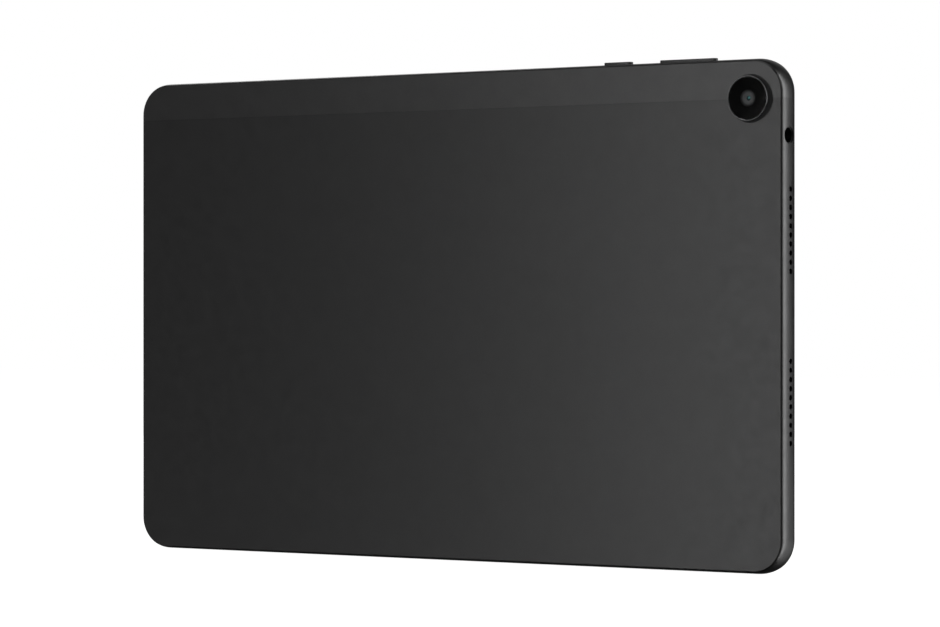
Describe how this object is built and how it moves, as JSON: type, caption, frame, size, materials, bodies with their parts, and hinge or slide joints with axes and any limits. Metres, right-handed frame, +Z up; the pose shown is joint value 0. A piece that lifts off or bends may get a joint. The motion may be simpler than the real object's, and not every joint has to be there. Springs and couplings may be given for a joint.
{
  "type": "tablet computer",
  "caption": "Slim landscape tablet computer with a metal back, plastic radio band, raised corner camera, edge keys, side speaker holes, headphone socket and pull-out card tray.",
  "frame": {"origin": "middle of the bottom long edge, at half the body's thickness, with the tablet upright in landscape", "axes": "+X along the long edge, away from the headphone socket; +Y out of the back; +Z up the short side; the screen faces -Y"},
  "size_m": [0.247, 0.0098, 0.1574],
  "materials": {
    "anodised_aluminium": "bead-blasted, dark grey anodised",
    "band_plastic": "painted to match the metal, satin",
    "bezel_plastic": "fine texture, black",
    "screen_glass": "polished, printed black behind its border",
    "panel": "switched-off display",
    "light_guide": "clear acrylic over white film",
    "sheet_steel": "pressed and tinned",
    "magnesium": "light alloy, as cast",
    "circuit_board": "solder mask",
    "chip": "moulded, black",
    "battery_foil": "laminated pouch foil, taped",
    "flex_copper": "copper on polyimide film",
    "black_plastic": "moulded, glass filled",
    "graphite": "rolled graphite film",
    "camera_metal": "turned, polished rim",
    "lens_glass": "coated",
    "mesh_fabric": "woven dust mesh",
    "screw_steel": "nickel plated"
  },
  "bodies": {
    "tablet": {"rear_housing": "anodised_aluminium", "antenna_cover": "band_plastic", "bezel_frame": "bezel_plastic", "cover_glass": "screen_glass", "lcd_panel": "panel", "light_guide": "light_guide", "backlight_led_strip": "circuit_board", "backlight_pan": "sheet_steel", "chassis_plate": "magnesium", "graphite_sheet": "graphite", "mainboard": "circuit_board", "processor_shield": "sheet_steel", "power_shield": "sheet_steel", "radio_shield": "sheet_steel", "processor": "chip", "memory_chip": "chip", "storage_chip": "chip", "mainboard_screw_1": "screw_steel", "mainboard_screw_2": "screw_steel", "mainboard_screw_3": "screw_steel", "mainboard_screw_4": "screw_steel", "mainboard_screw_5": "screw_steel", "usb_board": "circuit_board", "usb_board_screw_1": "screw_steel", "usb_board_screw_2": "screw_steel", "usb_board_screw_3": "screw_steel", "microphone": "sheet_steel", "usb_c_shell": "sheet_steel", "usb_c_tongue": "black_plastic", "headphone_jack": "black_plastic", "speaker_jack_side_upper": "black_plastic", "speaker_jack_side_lower": "black_plastic", "speaker_usb_side_upper": "black_plastic", "speaker_usb_side_lower": "black_plastic", "speaker_mesh_jack_side_upper": "mesh_fabric", "speaker_mesh_jack_side_lower": "mesh_fabric", "speaker_mesh_usb_side_upper": "mesh_fabric", "speaker_mesh_usb_side_lower": "mesh_fabric", "card_reader": "sheet_steel", "battery_cell_1": "battery_foil", "battery_cell_2": "battery_foil", "battery_protection_board": "circuit_board", "battery_lead": "flex_copper", "display_flex": "flex_copper", "board_flex": "flex_copper", "rear_camera_surround": "camera_metal", "rear_camera_window": "screen_glass", "rear_camera_lens": "lens_glass", "rear_camera_module": "black_plastic", "front_camera": "black_plastic", "light_sensor": "chip", "wifi_antenna": "flex_copper", "location_antenna": "flex_copper", "power_switch": "black_plastic", "volume_up_switch": "black_plastic", "volume_down_switch": "black_plastic", "key_bracket": "sheet_steel"},
    "power_key": {"power_button": "anodised_aluminium"},
    "volume_key": {"volume_button": "anodised_aluminium"},
    "tray": {"card_tray": "anodised_aluminium"}
  },
  "joints": [
    {"name": "power_key_press", "type": "slide", "parent": "tablet", "child": "power_key", "axis": [0, 0, -1], "range_m": [0, 0.0003], "stiffness_N_per_m": 1000},
    {"name": "volume_key_rock", "type": "hinge", "parent": "tablet", "child": "volume_key", "pos_m": [-0.0883, 0, 0.1537], "axis": [0, 1, 0], "range_deg": [-1.5, 1.5], "stiffness_Nm_per_rad": 0.3},
    {"name": "card_tray_pull", "type": "slide", "parent": "tablet", "child": "tray", "axis": [1, 0, 0], "range_m": [0, 0.024]}
  ]
}
